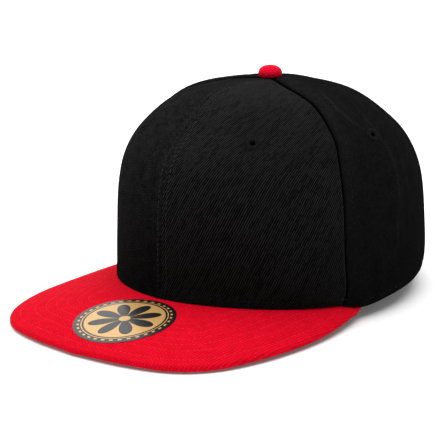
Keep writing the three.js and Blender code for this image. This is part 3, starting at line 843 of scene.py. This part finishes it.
def peakGrid(s, v, inset):  # straight lines from the crown's inner rim to the peak's edge
    foot = crownPoint(s * cap["peakEndAngle"], np.zeros_like(s))
    normal = crownNormal(s * cap["peakEndAngle"], np.zeros_like(s))
    foot = foot - normal * cap["clothWall"]
    x, y = peakEdge(s)
    length = np.hypot(foot[:, 0] - x, foot[:, 1] - y)
    share = (1 - v[:, None]) * ((length - np.minimum(inset, length / 2)) / length)[None, :]
    flatX = foot[:, 0] + (x - foot[:, 0]) * share
    flatY = foot[:, 1] + (y - foot[:, 1]) * share
    return flatX, flatY


def fromPeakEdge(x, y):  # distance from the peak's edge
    corners = np.stack([edgeX, edgeY], -1)[::2]
    best = np.full(x.shape, 1e9)
    for start, step in zip(corners[:-1], np.diff(corners, axis=0)):
        t = np.clip(((x - start[0]) * step[0] + (y - start[1]) * step[1]) / (step @ step), 0, 1)
        best = np.minimum(best, np.hypot(x - start[0] - t * step[0], y - start[1] - t * step[1]))
    return best


def peakPiece(name, topDepth, bottomDepth, inset, radius, levels, material, slot, node):
    piece, i, j, inner = flatWall(name, peakLook["columns"], levels)
    s = np.linspace(-1, 1, peakLook["columns"] + 1)
    x, y = peakGrid(s, spread(levels, peakLook["levelPull"]), inset)
    edge = np.maximum(fromPeakEdge(x, y) - inset, peakLook["leastDepth"])
    edgeAtX, edgeAtY = peakEdge(s)

    # The crown sits on the two ends, which are flatter and thinner
    flat = peakLook["tipFlatness"] * smoothStep(peakEndY - peakLook["tipFrom"], peakEndY - peakLook["tipTo"], y)
    thin = peakLook["tipThinning"] * smoothStep(peakEndY - peakLook["thinFrom"], peakEndY, edgeAtY)
    upper = topDepth + roll(edge, radius) * (1 - flat)
    lower = (bottomDepth - roll(edge, radius / 2)) * (1 - thin)
    if node == "peak":
        for row in peakStitchRows:
            upper = upper + peakLook["rowDip"] * np.exp(-((edge - row) / peakLook["dipWidth"]) ** 2)
        upper = upper - peakLook["quilt"] * smoothStep(*peakLook["quiltEdge"], edge)
    else:  # its face turns away from anyone who looks at the edge
        away = math.tan(math.radians(peakLook["hidden"])) * (edge + inset)
        lower = np.minimum(lower, cap["peakBoard"] + away)
        upper = np.minimum(upper, lower - peakLook["leastWall"])
    depth = np.where(inner, lower[j, i], upper[j, i])
    flatX, flatY = x[j, i], y[j, i]
    writePoints(piece, np.stack([flatX, flatY, peakTop(flatX, flatY) - depth], -1))

    # The cloth goes on round the edge
    outward = unit(np.stack([edgeAtX * peakLook["roundSide"], edgeAtY], -1))
    turned = np.where(inner, depth, roll(edge, radius)[j, i])
    writeCoordinates(piece, flatX + outward[i, 0] * turned, flatY + outward[i, 1] * turned)
    finishPiece(piece, material, slot, node)


peakPiece("peak_cloth", 0, cap["peakBoard"] + peakLook["coverLap"], 0, peakLook["edgeRadius"],
          peakLook["levels"], peakCloth, "red_twill", "peak")
peakPiece("peak_under_cloth", cap["peakBoard"] + cap["underGap"], peakStack, peakLook["underInset"],
          peakLook["underRadius"], peakLook["underLevels"], underCloth, "dark_cloth", "peak_underside")


def peakPath(away):  # parallel to the peak's edge, as far as the crown's rim
    tangent = unit(np.stack([np.gradient(edgeX), np.gradient(edgeY)], -1))
    x = edgeX - tangent[:, 1] * away
    y = edgeY + tangent[:, 0] * away
    rimY = -cap["rimFront"] * np.sqrt(np.clip(1 - (x / cap["rimHalfWidth"]) ** 2, 0, 1))
    clear = (y < rimY - peakLook["threadAhead"]) | (np.abs(x) > cap["rimHalfWidth"] + peakLook["threadAside"])
    clear &= fromPeakEdge(x, y) > away - peakLook["threadSlack"]
    x, y = x[clear], y[clear]
    slopeX = (peakTop(x + 1, y) - peakTop(x - 1, y)) / 2
    slopeY = (peakTop(x, y + 1) - peakTop(x, y - 1)) / 2
    line = np.stack([x, y, peakTop(x, y) - peakLook["threadSink"]], -1)
    return line, unit(np.stack([-slopeX, -slopeY, np.ones_like(x)], -1))


peakPaths = [peakPath(away) for away in peakStitchRows]
joinStitches("peak_stitches", peakPaths, redThread, threadRows["peakThick"], "red_twill")
print("Peak covered")


# Button: a dome covered with red twill, gathered under its edge

button = {
    "radius": 7.1, "height": 7.2, "lift": 0.3, "segments": 84, "rings": 44,
    "pleats": 14, "pleat": 0.12, "pleatFoot": (0.1, 0.25), "pleatTop": (0.5, 0.3),
}
buttonRows = [
    {"reach": 0, "lift": 0}, {"reach": 0.5, "lift": 0}, {"reach": 0.84, "lift": 0.02}, {"reach": 0.96, "lift": 0.14},
    {"reach": 1, "lift": 0.34}, {"reach": 0.95, "lift": 0.56}, {"reach": 0.8, "lift": 0.77},
    {"reach": 0.55, "lift": 0.92}, {"reach": 0.26, "lift": 0.985}, {"reach": 0, "lift": 1},
]


def coveredButton():
    deselectAll()
    bpy.ops.mesh.primitive_uv_sphere_add(segments=button["segments"], ring_count=button["rings"], radius=1)
    piece = lastAdded("button_cloth")
    points = readPoints(piece)
    turn = np.arctan2(points[:, 1], points[:, 0])
    share = 1 - np.arccos(np.clip(points[:, 2], -1, 1)) / np.pi
    reach = button["radius"] * np.maximum(along(buttonRows, "reach", share), 0)
    z = button["height"] * along(buttonRows, "lift", share)
    gathered = smoothStep(*button["pleatTop"], share) * smoothStep(*button["pleatFoot"], share)
    pleat = button["pleat"] * np.cos(turn * button["pleats"]) * gathered
    reach = np.where(np.abs(points[:, 2]) > 0.9999, 0, reach + pleat)  # the two poles stay closed
    x, y = reach * np.cos(turn), reach * np.sin(turn)
    writePoints(piece, np.stack([x, y + cap["apexSetback"], z + cap["crownTop"] + button["lift"]], -1))
    writeCoordinates(piece, x, y + z)
    finishPiece(piece, buttonCloth, "red_twill", "top_button")


coveredButton()


# Foil sticker: black and gold film with a flower of eight petals

sticker = {
    "radius": 28.1, "thickness": 0.35, "ahead": 32.3, "aside": 3.6, "lift": 0.05, "insets": 9, "inset": 2.9,
    "ring": 23.6, "ringLine": 0.3, "field": 22.2, "petals": 4, "petalReach": 20.0, "petalWidth": 0.5, "heart": 3.2,
    "ticks": 34, "tickFrom": 24.8, "tickTo": 26.0, "tickShare": 0.2, "dark": "#0b0a0a", "gold": "#d8ab68",
}
film = {"roughness": 0.34, "coat": 0.5, "coatRoughness": 0.2, "metal": 0.35,
        "rippleSize": 25 / 3, "rippleRise": 0.4, "bump": 0.15}


# Printed film: matt black and faintly metallic gold ink under a clear lacquer, a little wavy
def foilMaterial():
    material, tree, shader = newMaterial("printed metallic film", {
        "Roughness": film["roughness"], "Coat Weight": film["coat"], "Coat Roughness": film["coatRoughness"]})
    place = addNode(tree, "ShaderNodeUVMap", uv_map="cloth")
    split = addNode(tree, "ShaderNodeSeparateXYZ", {0: place})
    length = addNode(tree, "ShaderNodeVectorMath", {0: place}, operation="LENGTH").outputs["Value"]
    reach = addNode(tree, mathNode, {0: length, 1: mm}, operation="DIVIDE")
    turn = addNode(tree, mathNode, {0: split.outputs["Y"], 1: split.outputs["X"]}, operation="ARCTAN2")

    # Eight petals and a heart on a gold field
    petalTurn = addNode(tree, mathNode, {0: turn, 1: sticker["petals"]}, operation="MULTIPLY")
    swing = addNode(tree, mathNode, {0: petalTurn}, operation="COSINE")
    lobe = addNode(tree, mathNode, {0: swing}, operation="ABSOLUTE")
    wave = addNode(tree, mathNode, {0: lobe, 1: sticker["petalWidth"]}, operation="POWER")
    petalEdge = addNode(tree, mathNode, {0: wave, 1: sticker["petalReach"]}, operation="MULTIPLY")
    petal = addNode(tree, mathNode, {0: reach, 1: petalEdge}, operation="LESS_THAN")
    heart = addNode(tree, mathNode, {0: reach, 1: sticker["heart"]}, operation="LESS_THAN")
    dark = addNode(tree, mathNode, {0: petal, 1: heart}, operation="SUBTRACT")
    field = addNode(tree, mathNode, {0: reach, 1: sticker["field"]}, operation="LESS_THAN")
    bare = addNode(tree, mathNode, {0: 1.0, 1: dark}, operation="SUBTRACT")
    gold = addNode(tree, mathNode, {0: field, 1: bare}, operation="MULTIPLY")

    # A thin ring and a band of small marks
    ring = addNode(tree, mathNode, {0: reach, 1: sticker["ring"], 2: sticker["ringLine"]}, operation="COMPARE")
    tickTurn = addNode(tree, mathNode, {0: turn, 1: sticker["ticks"]}, operation="MULTIPLY")
    beat = addNode(tree, mathNode, {0: tickTurn}, operation="COSINE")
    band = addNode(tree, mathNode, {
        0: reach, 1: (sticker["tickFrom"] + sticker["tickTo"]) / 2,
        2: (sticker["tickTo"] - sticker["tickFrom"]) / 2}, operation="COMPARE")
    tick = addNode(tree, mathNode, {0: beat, 1: sticker["tickShare"]}, operation="GREATER_THAN")
    ticks = addNode(tree, mathNode, {0: band, 1: tick}, operation="MULTIPLY")
    marks = addNode(tree, mathNode, {0: ring, 1: ticks}, operation="MAXIMUM")
    shown = addNode(tree, mathNode, {0: gold, 1: marks}, operation="MAXIMUM")

    colour = addNode(tree, "ShaderNodeMix", {
        "Factor": shown, "A": linear(sticker["dark"]), "B": linear(sticker["gold"])}, data_type="RGBA")
    tree.links.new(colour.outputs["Result"], shader.inputs["Base Color"])
    metal = addNode(tree, mathNode, {0: shown, 1: film["metal"]}, operation="MULTIPLY")
    tree.links.new(metal.outputs[0], shader.inputs["Metallic"])
    ripple = addNode(tree, noiseNode, {"Vector": place, "Scale": 1 / (film["rippleSize"] * mm), "Detail": 1.0})
    bump = addNode(tree, "ShaderNodeBump", {
        "Height": ripple, "Strength": film["bump"], "Distance": film["rippleRise"] * mm})
    tree.links.new(bump.outputs[0], shader.inputs["Normal"])
    return material


def stickerPiece():
    deselectAll()
    bpy.ops.mesh.primitive_circle_add(vertices=128, radius=sticker["radius"] * mm, fill_type="NGON")
    piece = lastAdded("peak_sticker_film")
    bpy.ops.object.mode_set(mode="EDIT")
    bpy.ops.mesh.select_mode(type="FACE")
    bpy.ops.mesh.select_all(action="SELECT")
    for _ in range(sticker["insets"]):
        bpy.ops.mesh.inset(thickness=sticker["inset"] * mm)
    bpy.ops.object.mode_set(mode="OBJECT")
    applyModifier(piece, "SOLIDIFY", thickness=sticker["thickness"] * mm, offset=1)
    points = readPoints(piece) / mm
    x = points[:, 0] + sticker["aside"]
    y = points[:, 1] - cap["rimFront"] - sticker["ahead"]
    writePoints(piece, np.stack([x, y, peakTop(x, y) + points[:, 2] + sticker["lift"]], -1))
    writeCoordinates(piece, points[:, 0], points[:, 1])
    finishPiece(piece, foilMaterial(), "foil", "peak_sticker", angle=40)


stickerPiece()
print("Button and sticker made")


# Snap strap: two halves of moulded plastic, pressed together by studs through round holes

strap = {
    "width": 19, "thickness": 1.3, "overlap": 12, "lap": 30, "step": 8, "clothGap": 0.3, "lapGap": 0.1,
    "pitch": 10.5, "count": 5, "studRadius": 2.2, "holeRadius": 2.5, "studHeight": 1.7, "studRoot": 1,
    "studRound": 0.5, "cutDepth": 12, "columns": 120, "levels": 16, "pull": 0.8, "edge": 0.5, "leastDepth": 0.02,
}


def strapPlace(s, up, depth):  # s is the length from the middle of the back, up a share of the width
    row = up * rowAt("height", strap["width"] / cap["crownTop"])
    angle = 180 + np.degrees(s / (cap["rimRear"] - cap["apexSetback"]))
    spot = crownPoint(angle, row)
    return spot - crownNormal(angle, row) * np.asarray(depth)[..., None]


def strapHalf(name, start, end, depthAt):
    piece, i, j, inner = flatWall(name, strap["columns"], strap["levels"])
    lengths = start + (end - start) * spread(strap["columns"], strap["pull"])
    s, up = np.meshgrid(lengths, spread(strap["levels"], strap["pull"]))
    edge = np.minimum(np.minimum(s - start, end - s), np.minimum(up, 1 - up) * strap["width"])
    curve = roll(np.maximum(edge, strap["leastDepth"]), strap["edge"])
    depth = np.where(inner, (depthAt(s) + strap["thickness"] - curve)[j, i], (depthAt(s) + curve)[j, i])
    writePoints(piece, strapPlace(s[j, i], up[j, i], depth))
    return piece


def studAt(index, radius, depth, name):
    s = strap["pitch"] * (index - (strap["count"] - 1) / 2)
    spot = strapPlace(np.array(s), np.array(0.5), np.array(0.0))
    outward = unit(spot - strapPlace(np.array(s), np.array(0.5), np.array(1.0)))
    deselectAll()
    bpy.ops.mesh.primitive_cylinder_add(vertices=28, radius=radius * mm, depth=depth * mm)
    stud = lastAdded(name)
    turn = Vector(outward).to_track_quat("Z", "Y").to_matrix().to_4x4()
    return stud, stance @ Matrix.Translation(Vector(spot) * mm) @ turn


def snapStrap():
    face = cap["clothWall"] + strap["clothGap"]
    reach, lap = cap["openingHalfWidth"] + strap["overlap"], strap["lap"]
    lift = strap["thickness"] + strap["lapGap"]
    holed = strapHalf("strap_holes", -reach, lap, lambda s: face - lift * smoothStep(-lap - strap["step"], -lap, s))
    studded = strapHalf("strap_studs", -lap, reach, lambda s: face + 0 * s)
    for index in range(strap["count"]):
        cutter, cutter.matrix_world = studAt(index, strap["holeRadius"], strap["cutDepth"], "hole_cutter")
        bpy.context.view_layer.update()
        applyModifier(holed, "BOOLEAN", object=cutter, operation="DIFFERENCE", solver="EXACT")
        bpy.data.objects.remove(cutter)
    for index in range(strap["count"]):
        stud, place = studAt(index, strap["studRadius"], strap["studHeight"] + strap["studRoot"], "stud")
        applyModifier(stud, "BEVEL", width=strap["studRound"] * mm, segments=3, limit_method="ANGLE", angle_limit=0.6)
        outward = -face + (strap["studHeight"] - strap["studRoot"]) / 2
        stud.matrix_world = place @ Matrix.Translation((0, 0, outward * mm))
        bpy.context.view_layer.update()
        applyModifier(studded, "BOOLEAN", object=stud, operation="UNION", solver="EXACT")
        bpy.data.objects.remove(stud)
    for piece in (holed, studded):
        finishPiece(piece, plastic, "black_plastic", "snap_strap", angle=35)


snapStrap()
print("Strap snapped")


# Studio: pale floor, soft light from above

studio = {
    "floorSize": 90, "floorColour": "#fdfdfd", "floorGlow": 0.08, "worldColour": "#ffffff", "worldStrength": 0.26,
    "suns": [
        {"strength": 3.1, "angle": 80, "azimuth": 20, "elevation": 82},
        {"strength": 1.2, "angle": 85, "azimuth": 145, "elevation": 56},
    ],
}


def addStudio():
    deselectAll()
    bpy.ops.mesh.primitive_plane_add(size=studio["floorSize"], location=(0, 0, 0))
    floor = lastAdded("floor")
    paper = linear(studio["floorColour"])  # matt paper that spreads the light, with no shine of its own
    material = newMaterial("matt white paper", {
        "Roughness": 0.9, "Base Color": paper, "Specular IOR Level": 0.1, "Emission Color": paper,
        "Emission Strength": studio["floorGlow"]})[0]
    floor.data.materials.append(material)
    world = bpy.data.worlds.new("studio")
    world.use_nodes = True
    bpy.context.scene.world = world
    background = world.node_tree.nodes["Background"]
    background.inputs["Color"].default_value = linear(studio["worldColour"])
    background.inputs["Strength"].default_value = studio["worldStrength"]
    for look in studio["suns"]:
        bpy.ops.object.light_add(type="SUN", location=(0, 0, 1))
        sun = bpy.context.object
        sun.data.energy = look["strength"]
        sun.data.angle = math.radians(look["angle"])
        tilt, turn = math.radians(90 - look["elevation"]), math.radians(look["azimuth"])
        towards = Vector((-math.sin(tilt) * math.sin(turn), -math.sin(tilt) * math.cos(turn), math.cos(tilt)))
        sun.rotation_euler = towards.to_track_quat("Z", "Y").to_euler()


addStudio()
bpy.context.scene.view_settings.view_transform = "Standard"
print("Studio lit")
